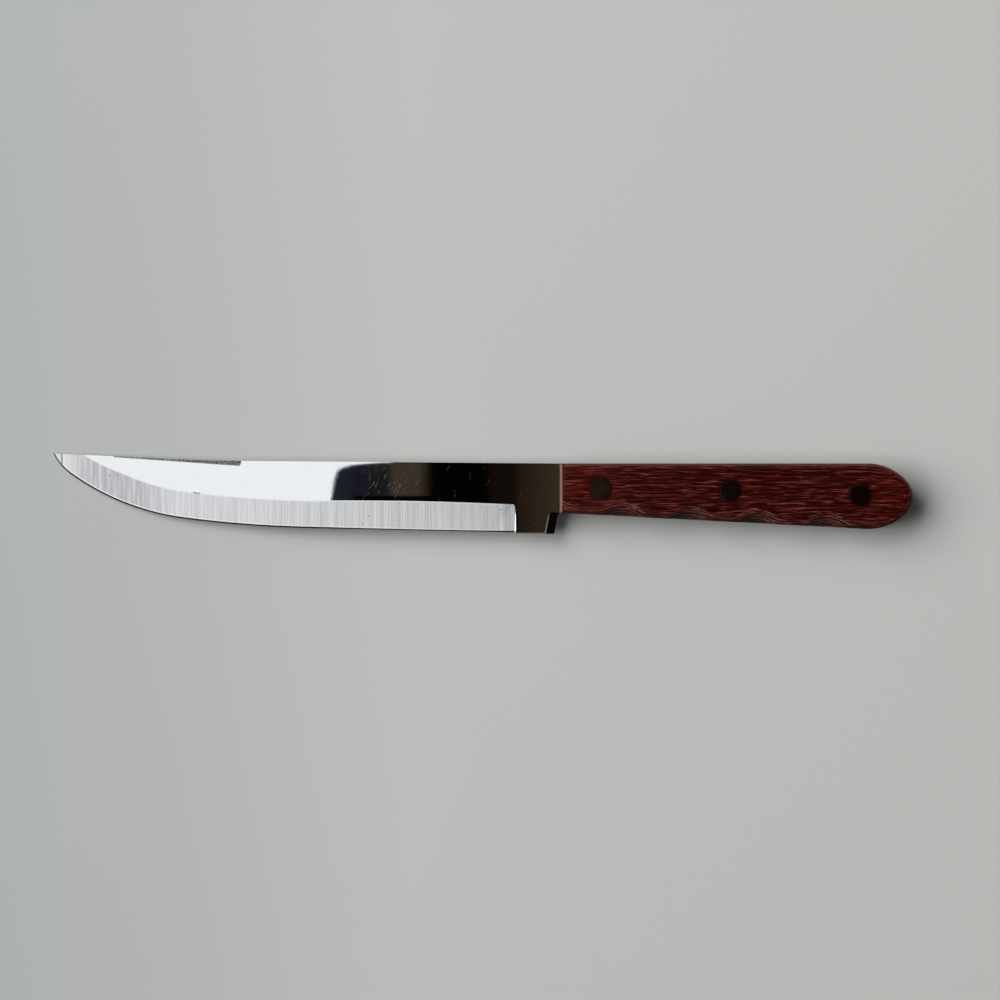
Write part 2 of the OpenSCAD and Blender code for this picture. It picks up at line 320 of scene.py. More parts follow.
class NodeGroup:
    """A shader node group that finishes share, built once. An input with no value of its own is a vector."""

    name = ""
    inputs: dict[str, float | None] = {}
    outputs: tuple[str, ...] = ("Mask",)

    def build(self, kit: Nodes, given: dict[str, Field]) -> dict[str, Field]:
        """Fills the group.

        Args:
            kit: Adds nodes to the group.
            given: The group's own inputs, by name.

        Returns:
            What its outputs get, by name.
        """
        raise NotImplementedError

    def tree(self) -> bpy.types.NodeTree:
        """Makes the group, or finds it.

        Returns:
            The group's tree.
        """
        if self.name in bpy.data.node_groups:
            return bpy.data.node_groups[self.name]
        tree = bpy.data.node_groups.new(self.name, "ShaderNodeTree")
        for name, value in self.inputs.items():
            kind = "NodeSocketVector" if value is None else "NodeSocketFloat"
            socket = tree.interface.new_socket(name, in_out="INPUT", socket_type=kind)
            if value is not None:
                socket.default_value = value
        for name in self.outputs:
            tree.interface.new_socket(name, in_out="OUTPUT", socket_type="NodeSocketFloat")
        kit = Nodes(tree)
        given = {s.name: Field(kit, s) for s in kit.add("NodeGroupInput").outputs if s.name}
        kit.add("NodeGroupOutput", self.build(kit, given))
        return tree

    def at(self, where: Field, **values: object) -> dict[str, Field]:
        """Places the group in a material.

        Args:
            where: The point that it is worked out for.
            **values: Values or fields for its other inputs.

        Returns:
            Its outputs, by name.
        """
        node = where.kit.add("Group", {"Vector": where, **values}, node_tree=self.tree())
        return {socket.name: Field(where.kit, socket) for socket in node.outputs}


class Streaks(NodeGroup):
    """Fine lines along X of the vector: grain, or the marks of a grinding belt."""

    name = "streaks"
    inputs = {"Vector": None, "Length": 8 * MM, "Width": 0.4 * MM, "Seed": 0.0, "Line": 0.06}
    outputs = ("Value", "Fine", "Line")

    def build(self, kit: Nodes, given: dict[str, Field]) -> dict[str, Field]:
        """Stretches a coarse noise and a fine one, and draws a line along the coarse one."""
        x, y, z = given["Vector"].split()
        spot = kit.combine(x / given["Length"], y / given["Width"], z / given["Width"] + given["Seed"])
        value = spot.noise(1.0, 2.0, 0.55)
        line = 1.0 - abs(value - 0.5) / given["Line"]
        finer = spot.vector("MULTIPLY", (1.7, 3.1, 3.1))
        return {"Value": value, "Fine": finer.noise(1.0, 1.0), "Line": line.most(0.0)}


class Scratches(NodeGroup):
    """Sparse hairline scratches that all run one way, broken into short strokes."""

    name = "scratches"
    inputs = {"Vector": None, "Turn": 0.0, "Spacing": 1.2 * MM, "Stroke": 6 * MM, "Thickness": 0.06 * MM,
              "Amount": 0.5}

    def build(self, kit: Nodes, given: dict[str, Field]) -> dict[str, Field]:
        """Cuts thin lines from stretched cells and keeps some of them."""
        x, y, _ = given["Vector"].turned(given["Turn"]).split()
        spot = kit.combine(x / given["Stroke"], y / given["Spacing"])
        cells = spot.cells(1.0)
        hue, lean, _ = cells["Color"].split()
        ahead_by, beside_by, _ = spot.vector("SUBTRACT", cells["Position"]).split()
        beside = abs((lean - 0.5) * ahead_by + beside_by) * given["Spacing"]
        line = beside.below(given["Thickness"] * 0.5)
        return {"Mask": line * abs(ahead_by).below(0.33) * hue.below(given["Amount"])}


class Specks(NodeGroup):
    """Scattered small pits or dust grains."""

    name = "specks"
    inputs = {"Vector": None, "Spacing": 5 * MM, "Size": 0.3 * MM, "Amount": 0.4}

    def build(self, kit: Nodes, given: dict[str, Field]) -> dict[str, Field]:
        """Puts a dot of uneven size in some cells."""
        cells = given["Vector"].cells(kit.math("DIVIDE", 1.0, given["Spacing"]))
        hue, second, _ = cells["Color"].split()
        dot = (given["Size"] * second / given["Spacing"] - cells["Distance"]).fit(0.0, 0.02)
        return {"Mask": dot * hue.below(given["Amount"])}


class WornAndPaintedBand(NodeGroup):
    """A band along a straight line, for arrises worn dull and for a painted dark band."""

    name = "worn_and_painted_band"
    inputs = {"Vector": None, "From": None, "To": None, "Width": 0.4 * MM}

    def build(self, kit: Nodes, given: dict[str, Field]) -> dict[str, Field]:
        """Fades with the distance, seen from above, from the line between two points."""
        spot, start, end = (given[name].placed(FLAT) for name in ("Vector", "From", "To"))
        away, run = (point.vector("SUBTRACT", start) for point in (spot, end))
        part, whole = (run.vector("DOT_PRODUCT", other) for other in (away, run))
        share = (part / whole).fit(0.0, 1.0)
        nearest = kit.get("VectorMath", 0, {0: run, "Scale": share}, operation="SCALE")
        near = 1.0 - away.apart(nearest) / given["Width"]
        return {"Mask": (near.most(0.0) * 3.0).least(1.0)}


class RimGrimeAndShade(NodeGroup):
    """Dirt and painted shade in a ring round a rivet."""

    name = "rim_grime_and_shade"
    inputs = {"Vector": None, "Centre": None, "Radius": 3.6 * MM, "Spread": MM}

    def build(self, kit: Nodes, given: dict[str, Field]) -> dict[str, Field]:
        """Fades with the distance from a circle round the centre."""
        away = given["Vector"].placed(FLAT).apart(given["Centre"].placed(FLAT))
        near = 1.0 - abs(away - given["Radius"]) / given["Spread"]
        return {"Mask": near.most(0.0).math("POWER", 2.0)}


# ---------------------------------------------------------------- finishes


@dataclass(frozen=True)
class Finish:
    """What every finish shares: a name, a Principled shader and object coordinates."""

    name: str

    def material(self) -> bpy.types.Material:
        """Makes the material, or finds it.

        Returns:
            The material.
        """
        if self.name in bpy.data.materials:
            return bpy.data.materials[self.name]
        material = bpy.data.materials.new(self.name)
        kit = bare_tree(material)
        dressed = self.dress(kit.get("TexCoord", "Object"))
        kit.add("OutputMaterial", {"Surface": kit.get("BsdfPrincipled", 0, dressed)})
        return material

    def dress(self, where: Field) -> dict[str, object]:
        """Works out the shader's inputs.

        Args:
            where: The point, in the knife's own frame.

        Returns:
            Values or fields, by the input's name.
        """
        raise NotImplementedError


def metal(colour: Field, roughness: Field, normal: Field) -> dict[str, object]:
    """The shader inputs of a bare metal."""
    return {"Base Color": colour, "Metallic": 1.0, "Roughness": roughness, "Normal": normal}


def coarse_grain(where: Field, seed: float) -> Field:
    """The uneven grain of a coarse wheel."""
    return Streaks().at(where, Length=1.1 * MM, Width=0.35 * MM, Seed=seed)["Fine"]


@dataclass(frozen=True)
class PolishedSteel(Finish):
    """Mirror-polished steel with hairline scratches, closest where it is rubbed, dulled arrises and dust, and a
    painted dark band with painted glints along the false edge.
    """

    colour: Colour = (0.86, 0.872, 0.885)
    smudge: Colour = (0.3, 0.28, 0.22)
    roughness: float = 0.01
    scratch_roughness: float = 0.2
    arrises: tuple[tuple[Spot, Spot], ...] = ()
    arris_width: float = 0.42 * MM
    arris_wear: Span = (0.4, 0.8)
    painted_band: tuple[Spot, Spot] | None = None
    painted_band_width: float = 0.44 * MM
    painted_band_dark: Colour = (0.07, 0.07, 0.068)
    painted_band_glint: Colour = (0.5, 0.5, 0.5)
    ripple: float = 0.0003 * MM
    ripple_scale: float = 2600.0
    rippled: Span = (-42 * MM, -48 * MM)
    rubbed: Spot = (-34 * MM, 4 * MM, 0.0)
    rubbed_size: float = 11 * MM

    def dress(self, where: Field) -> dict[str, object]:
        """Polished metal whose scratches scatter light."""
        strokes = Scratches().at(where, Turn=math.radians(-58), Spacing=1.1 * MM, Stroke=2.2 * MM,
                                 Thickness=0.035 * MM, Amount=0.25)["Mask"]
        hairs = Scratches().at(where, Turn=math.radians(-70), Spacing=2.9 * MM, Stroke=4 * MM,
                               Thickness=0.02 * MM, Amount=0.2)["Mask"]
        dust = Specks().at(where, Spacing=3.8 * MM, Size=0.22 * MM, Amount=0.2)["Mask"]
        away = where.placed(FLAT).apart(self.rubbed)
        near = away.fit(0.4 * self.rubbed_size, self.rubbed_size, 1.0, 0.0, smooth=True)
        marked = (strokes * near).most(hairs).most(dust * 0.35)
        for (start, end), wear in zip(self.arrises, self.arris_wear):
            worn = WornAndPaintedBand().at(where, From=start, To=end, Width=self.arris_width)["Mask"]
            marked = marked.most(worn * wear)
        haze = where.noise(220.0, 4.0, 0.6)
        tinted = haze.fit(0.4, 0.65, 0.0, 0.03).mix(self.colour, self.smudge)
        # A dark band with bright grains along the false edge: a painted dark reflection with painted glints.
        if self.painted_band:
            start, end = self.painted_band
            coarse = WornAndPaintedBand().at(where, From=start, To=end, Width=self.painted_band_width)["Mask"]
            glint_grains = coarse_grain(where, 5.0).fit(0.54, 0.62)
            shade = glint_grains.mix(self.painted_band_dark, self.painted_band_glint)
            tinted = coarse.fit(0.3, 0.9, 0.0, 0.9).mix(tinted, shade)
        base = haze.fit(0.3, 0.7, self.roughness * 0.8, self.roughness * 1.3)
        rippled = where.split()[0].fit(*self.rippled, 0.25, 1.0)
        normal = where.noise(self.ripple_scale, 1.0).bump(self.ripple, rippled)
        return metal(tinted, marked * self.scratch_roughness + base, normal)


@dataclass(frozen=True)
class GroundSteel(Finish):
    """Steel left as the grinding belt leaves it, with fine lines that run one way."""

    colour: Colour = (0.98, 0.983, 0.985)
    dark: Colour = (0.66, 0.66, 0.67)
    pit: Colour = (0.04, 0.04, 0.04)
    roughness: float = 0.27
    upright: float = 0.0
    line_turn: float = 90.0
    line_length: float = 60 * MM
    line_width: float = 0.36 * MM
    contrast: float = 0.7
    depth: float = 0.0004 * MM
    pits: float = 0.25

    def tint(self, where: Field) -> tuple[Field, Field]:
        """Works out the colour and the lines.

        Args:
            where: The point.

        Returns:
            The colour, and the strength of the lines from 0 to 1.
        """
        turned = where.placed((1, 1, self.upright), self.line_turn)
        lines, bands = (Streaks().at(turned, Length=self.line_length, Width=width, Seed=seed)
                        for width, seed in ((self.line_width, 3.0), (8 * self.line_width, 8.0)))
        pits = Specks().at(where, Spacing=9 * MM, Size=0.45 * MM, Amount=self.pits)["Mask"]
        streak = lines["Value"] * 0.65 + lines["Fine"] * 0.35
        banded = bands["Value"].fit(0.42, 0.62, 0.0, 0.3 * self.contrast)
        streaked = streak.fit(0.34, 0.62, self.contrast, 0.0) + banded
        lined = streaked.least(1.0).mix(self.colour, self.dark)
        return pits.mix(lined, self.pit), streak

    def dulled(self, where: Field, streak: Field) -> Field:
        """The roughness at a point, a little higher in the dark lines."""
        return streak.fit(0.3, 0.7, self.roughness * 1.2, self.roughness * 0.85)

    def dress(self, where: Field) -> dict[str, object]:
        """Streaked metal, a little duller in bands, with a few dark pits."""
        colour, streak = self.tint(where)
        return metal(colour, self.dulled(where, streak), streak.bump(self.depth))


@dataclass(frozen=True)
class HonedSteel(GroundSteel):
    """The hone, its colour set dark as a painted dark reflection, less dark toward the point, and duller there.
    """

    paling: Span = (-144 * MM, -150 * MM)
    pale: Colour = (0.5, 0.51, 0.51)
    pale_roughness: float = 0.3

    def tint(self, where: Field) -> tuple[Field, Field]:
        """The ground colour, with the point paler."""
        colour, streak = super().tint(where)
        return where.split()[0].fit(*self.paling).mix(colour, self.pale), streak

    def dulled(self, where: Field, streak: Field) -> Field:
        """The roughness at a point, higher at the tip."""
        return where.split()[0].fit(*self.paling, self.roughness, self.pale_roughness)


@dataclass(frozen=True)
class BevelSteel(GroundSteel):
    """The main bevel: ground across, with a painted highlight in a hairline along both borders, stains toward
    the tip that also darken it there as painted shade, and painted shade in the plunge.

    A mesh attribute gives the distances from the grind line and from the hone.
    """

    borders: str = "from_borders"
    top: float = 0.0
    # The colour of the painted highlight along the borders.
    border_glint: Colour = (1.0, 1.0, 1.0)
    border: float = 0.4 * MM
    # The stains' mauve colour, which also paints shade toward the point.
    stain_and_shade: Colour = (0.44, 0.415, 0.45)
    stained_from: Span = (-108 * MM, -122 * MM)
    stained_to: Span = (-141 * MM, -149 * MM)
    # The colour of the pits, dig and nick, and of the painted shade in the plunge.
    mark_and_shade: Colour = (0.05, 0.05, 0.05)
    dig_x: float = -101.6 * MM
    dig_length: float = 2.8 * MM
    dig_depth: Span = (0.25 * MM, 0.4 * MM)
    nick_x: float = -149.6 * MM
    nick_width: float = 0.5 * MM
    pits_at: tuple[Spot, ...] = (
        (-40.3, -18.6, 0.26), (6.8, -16.4, 0.24), (-42.4, -21.4, 0.2), (-132.5, -4.3, 0.26))
    plunge_x: float = 11.9 * MM
    plunge_width: float = 5.2 * MM
    plunge_fade: float = 0.2 * MM

    def tint(self, where: Field) -> tuple[Field, Field]:
        """The ground colour, with the painted highlight along its borders, stains that are partly painted shade,
        painted shade in the plunge, pits, dig and nick.
        """
        colour, streak = super().tint(where)
        x = where.split()[0]
        # Mauve stains toward the point, which also darken the bevel there as painted shade.
        stains = Streaks().at(where.placed(FLAT, 90), Length=22 * MM, Width=1.3 * MM, Seed=21.0)["Value"]
        fade = x.fit(*self.stained_from, 0.25, 1.0) * x.fit(*self.stained_to, 1.0, 0.0)
        stained = (stains.fit(0.36, 0.62, 0.25, 0.8) * fade).mix(colour, self.stain_and_shade)
        from_grind, from_hone, _ = where.kit.get("Attribute", "Vector", attribute_name=self.borders).split()
        # A bright hairline along the grind line and the hone: a painted highlight.
        glint = from_grind.least(from_hone).fit(self.border * 0.8, self.border * 1.2, 0.85, 0.0)
        bordered = glint.mix(stained, self.border_glint)
        nick = abs(x - self.nick_x).fit(0.25 * self.nick_width, 0.6 * self.nick_width, 0.8, 0.0)
        dig = (abs(x - self.dig_x).fit(0.4 * self.dig_length, 0.5 * self.dig_length, 0.9, 0.0)
               * from_grind.fit(*self.dig_depth, 1.0, 0.0))
        # Darkens the bevel where it runs into the plunge: painted shade.
        plunge_shade = (x.fit(self.plunge_x - self.plunge_width, self.plunge_x - 0.6 * self.plunge_width)
                     * x.fit(self.plunge_x - self.plunge_fade, self.plunge_x, 0.3, 0.0))
        # Real marks, and the painted shade in the plunge.
        marks = nick.most(dig).most(plunge_shade)
        for pit_x, pit_y, size in self.pits_at:
            away = where.placed(FLAT).apart((pit_x * MM, self.top + pit_y * MM, 0.0))
            marks = marks.most(away.fit(0.6 * size * MM, 1.2 * size * MM, 0.9, 0.0))
        return marks.mix(bordered, self.mark_and_shade), streak


@dataclass(frozen=True)
class RoughSteel(Finish):
    """The false edge: coarsely ground, its colour set near black as a painted dark reflection, with a few grains
    painted bright as glints.
    """

    # The near-black colour paints a dark reflection, and the bright colour paints glints.
    colour: Colour = (0.07, 0.07, 0.068)
    bright: Colour = (0.95, 0.95, 0.95)
    depth: float = 0.05 * MM

    def dress(self, where: Field) -> dict[str, object]:
        """Metal painted dark as a painted dark reflection, with a few grains painted bright as glints."""
        grain = coarse_grain(where, 1.0)
        glint_grains = grain.fit(0.54, 0.6)
        shade = glint_grains.mix(self.colour, self.bright)
        return metal(shade, glint_grains.fit(0.0, 1.0, 0.3, 0.6), grain.bump(self.depth))


@dataclass(frozen=True)
class VeneerWood(Finish):
    """Thin dyed veneers pressed together with resin, so that every slope shows them as contour lines."""

    shape: "HandleShape"
    grooves: "FingerGrooves"
    rim_radius: float
    body: Colour = tone(54, 9, 7)
    warm: Colour = tone(82, 22, 14)
    dark: Colour = tone(26, 2, 3)
    plum: Colour = tone(48, 11, 16)
    light: Colour = tone(122, 62, 52)
    # Glue lines, and also the colour of the painted shade on the sides and round the rivets.
    glue: Colour = tone(20, 3, 4)
    # Tan: the contour lines, partly painted highlight, and the painted highlight on the front chamfer.
    tan: Colour = tone(140, 96, 80)
    ply: float = 1.1 * MM
    wander: float = 0.1 * MM
    seam_at: float = 0.01
    heart_at: float = 0.55
    contour_gap: float = 1.0 * MM
    contour_first: float = 0.5 * MM
    contour_fade: Span = (-0.2 * MM, 0.5 * MM)
    hump: float = 2.4 * MM
    hump_to: Span = (-18 * MM, -14 * MM)
    edge_clear: Span = (0.6 * MM, 1.1 * MM)
    low_to: Span = (4 * MM, 5.5 * MM)
    warm_front: Span = (12 * MM, 26 * MM)
    warm_butt: Span = (-18 * MM, -8 * MM)
    lip: Span = (0.75 * MM, 1.15 * MM)
    sway: float = 2.4 * MM
    waver: float = 0.4 * MM
    grime_and_shade_spread: float = 2.0 * MM
    grain_depth: float = 0.004 * MM

    def layers(self, where: Field) -> tuple[Field, Field]:
        """Finds the dark and the pale part of the veneer layer at a point, on a slope.

        Args:
            where: The point.

        Returns:
            How much of the glue line shows, and how much of the layer's pale heart.
        """
        drift = where.placed((120, 300, 120)).noise(1.0)
        depth = self.shape.face - abs(where.split()[2] - self.shape.origin.z)
        place = (((drift - 0.5) * self.wander + depth) / self.ply).math("FRACT")
        slope = abs(where.kit.get("NewGeometry", "Normal").split()[2]).fit(0.9996, 0.996)
        away = (place - self.seam_at).math("PINGPONG", 0.5)
        heart = abs(place - self.heart_at).fit(0.06, 0.22, 1.0, 0.0, smooth=True)
        return away.fit(0.02, 0.05, 1.0, 0.0, smooth=True) * slope, heart * slope

    def contours(self, where: Field) -> tuple[Field, Field]:
        """Draws the edges of the veneers that the lower edge cuts, rising over each finger groove, and stronger
        on the groove walls that face the window as a painted highlight.

        Args:
            where: The point.

        Returns:
            How much of the contour lines shows, and how near the lower edge the point is.
        """
        x, y, _ = where.split()
        along = x - self.shape.origin.x
        slope = math.tan(math.radians(self.shape.flare))
        over = y - (along * -slope + (self.shape.origin.y - self.shape.front_height))
        phase = (along - self.grooves.first) * (math.tau / self.grooves.pitch)
        wave = phase.math("COSINE") * 0.5 + 0.5
        rise = (along - self.shape.length).fit(*self.hump_to, self.hump, 0.0)
        drift = where.placed((160, 420, 0)).noise(1.0, 2.0, 0.6)
        level = (drift - 0.5) * (1.1 * self.contour_gap) + over - wave.math("POWER", 1.8) * rise
        place = (level - self.contour_first) / self.contour_gap
        line = place.math("PINGPONG", 0.5).fit(0.04, 0.15, 1.0, 0.0, smooth=True)
        band = wave.fit(0.0, 0.6, 1.3 * self.contour_gap, 3.0 * self.contour_gap)
        reach = (band - level).fit(*self.contour_fade)
        worn = where.placed((260, 900, 0)).noise(1.0, 1.0).fit(0.38, 0.56, 0.25, 1.0)
        # Lines show stronger on the groove walls that face the window: a painted highlight.
        wall = worn * phase.math("SINE").fit(-0.2, 0.9, 0.45, 1.0)
        shown = line * reach * (wall * over.fit(*self.edge_clear))
        return shown, over.fit(*self.low_to, 1.0, 0.0)

    def fibres(self, where: Field) -> tuple[Field, Field, Field]:
        """Lays the grain, with dark and pale fibres, redder toward the ends of the handle.

        Args:
            where: The point.

        Returns:
            The colour, the height and the gloss of the grain.
        """
        sway, waver = (where.placed(scale).noise(1.0, 1.0) for scale in ((22, 60, 60), (110, 200, 200)))
        grain_at = where.vector("ADD", where.kit.combine(0.0, sway * self.sway + waver * self.waver))
        grain, veins, bands, breaks = (
            Streaks().at(grain_at, Length=length * MM, Width=width * MM, Seed=seed, Line=line)
            for length, width, seed, line in (
                (20, 0.6, 0.0, 0.07), (22, 0.8, 31.0, 0.05), (30, 2.0, 11.0, 0.06), (7, 0.9, 47.0, 0.06)))
        along = where.split()[0] - self.shape.origin.x
        ends = along.fit(*self.warm_front, 1.0, 0.0, smooth=True).most(
            (along - self.shape.length).fit(*self.warm_butt, 0.0, 0.6, smooth=True))
        ground = (ends * bands["Fine"].fit(0.35, 0.6, 0.3, 1.0)).mix(self.body, self.warm)
        tint = bands["Value"].fit(0.5, 0.64, 0.0, 0.5).mix(ground, self.plum)
        shaded = grain["Value"].fit(0.40, 0.60, 0.0, 0.6).mix(tint, self.dark)
        lined = (grain["Line"] * breaks["Fine"].fit(0.40, 0.55, 0.35, 1.0)).mix(shaded, self.dark)
        veined = (veins["Line"] * breaks["Value"].fit(0.42, 0.60) * 0.9).mix(lined, self.light)
        height = grain["Value"] * 0.6 + veins["Fine"] * 0.4
        return veined, height, grain["Fine"].fit(0.35, 0.7, 0.13, 0.18)

    def dress(self, where: Field) -> dict[str, object]:
        """Layered grain, light and dark fibres, glue lines, painted shade on the sides, a painted highlight on
        the front chamfer, and dirt with painted shade round the rivets.
        """
        veined, height, gloss = self.fibres(where)
        seam, heart = self.layers(where)
        lines, low = self.contours(where)
        east, north, up = where.kit.get("NewGeometry", "Normal").split()
        upright, away_from_window = abs(up), east - north
        facing = upright.fit(0.15, 0.35)
        high = 1.0 - low * facing
        hearted = (heart * high * 0.6).mix(veined, self.light)
        seamed = (seam * high * 0.75).mix(hearted, self.glue)
        # Steep sides turn darker, and the sides that face away from the window darker still: painted shade.
        rim = upright.fit(0.25, 0.8, 0.8, 0.0).most(away_from_window.fit(0.5, 1.0, 0.0, 0.85))
        side = rim * upright.fit(0.1, 0.35, 0.2, 1.0)
        from_front = where.split()[0] - self.shape.origin.x
        lip_from, lip_to = self.lip
        width = lip_to - lip_from
        lip = abs(from_front - (lip_from + lip_to) / 2).fit(0.35 * width, 0.6 * width, 1.0, 0.0)
        # The front chamfer is painted tan: a painted highlight.
        chamfer = facing * from_front.fit(0.9 * lip_from, lip_from, 0.45, 0.0)
        pale_front = chamfer.mix(side.most(lip).mix(seamed, self.glue), self.tan)
        layered = (lines * facing * 0.8).mix(pale_front, self.tan)
        # Rings round the rivets: dirt, with painted shade where the heads meet the wood.
        rings = [RimGrimeAndShade().at(where, Centre=(spot.x, spot.y, 0.0), Radius=self.rim_radius,
                               Spread=self.grime_and_shade_spread)["Mask"] for spot in self.shape.rivet_spots()]
        grime_and_shade = rings[0].most(rings[1]).most(rings[2])
        dull = (lip * 0.55).most(away_from_window.fit(0.1, 0.4, 0.0, 0.45) * facing)
        return {"Base Color": (grime_and_shade * 0.9).mix(layered, self.glue), "Specular IOR Level": 0.17,
                "Roughness": dull + gloss, "Normal": height.bump(self.grain_depth, 0.6)}


@dataclass(frozen=True)
class NickelSilver(Finish):
    """A dulled rivet head, rubbed lengthwise with the scales, darker at its rim with dirt and painted shade."""

    centre: Span
    radius: float
    colour: Colour = (0.42, 0.39, 0.33)
    rim: Colour = (0.10, 0.085, 0.07)
    rim_spread: float = 0.9 * MM
    depth: float = 0.00005 * MM

    def dress(self, where: Field) -> dict[str, object]:
        """Tarnished metal with sanding lines and a dark rim of dirt and painted shade."""
        rub = Streaks().at(where, Length=5 * MM, Width=0.16 * MM, Seed=5.0)
        # A dark ring at the head's rim: dirt and painted shade.
        ring = RimGrimeAndShade().at(where, Centre=(*self.centre, 0.0), Radius=self.radius,
                             Spread=self.rim_spread)["Mask"]
        worn = rub["Value"].fit(0.35, 0.7, 0.0, 0.5).mix(self.colour, self.rim)
        stained = where.noise(420.0, 3.0, 0.6).fit(0.45, 0.75, 0.0, 0.4).mix(worn, self.rim)
        return metal(ring.mix(stained, self.rim), rub["Fine"].fit(0.3, 0.7, 0.06, 0.1),
                     rub["Value"].bump(self.depth))


@dataclass(frozen=True)
class TablePaint(Finish):
    """Matt pale paint, with painted shade that darkens it toward the knife's point and painted light that
    lightens it toward the butt.
    """

    middle: Colour = tone(188, 190, 189)
    # The left tone is painted shade and the right tone is painted light.
    left: Colour = tone(167, 171, 172)
    right: Colour = tone(194, 196, 194)
    left_over: Span = (-50 * MM, -190 * MM)
    right_over: Span = (0.0, 190 * MM)

    def dress(self, where: Field) -> dict[str, object]:
        """Paint that changes slowly from side to side: painted shade on the left, painted light on the right."""
        x = where.split()[0]
        paint = x.fit(*self.left_over, smooth=True).mix(self.middle, self.left)
        return {"Base Color": x.fit(*self.right_over).mix(paint, self.right), "Roughness": 0.8,
                "Specular IOR Level": 0.1}


# ---------------------------------------------------------------- blade


class Surface(Enum):
    """The surfaces of the blade, each with its own finish. The value is its place in the material list."""

    POLISHED = 0
    BEVEL = 1
    HONED = 2
    FALSE_EDGE = 3
    RELIEF = 4
    SIDE = 5


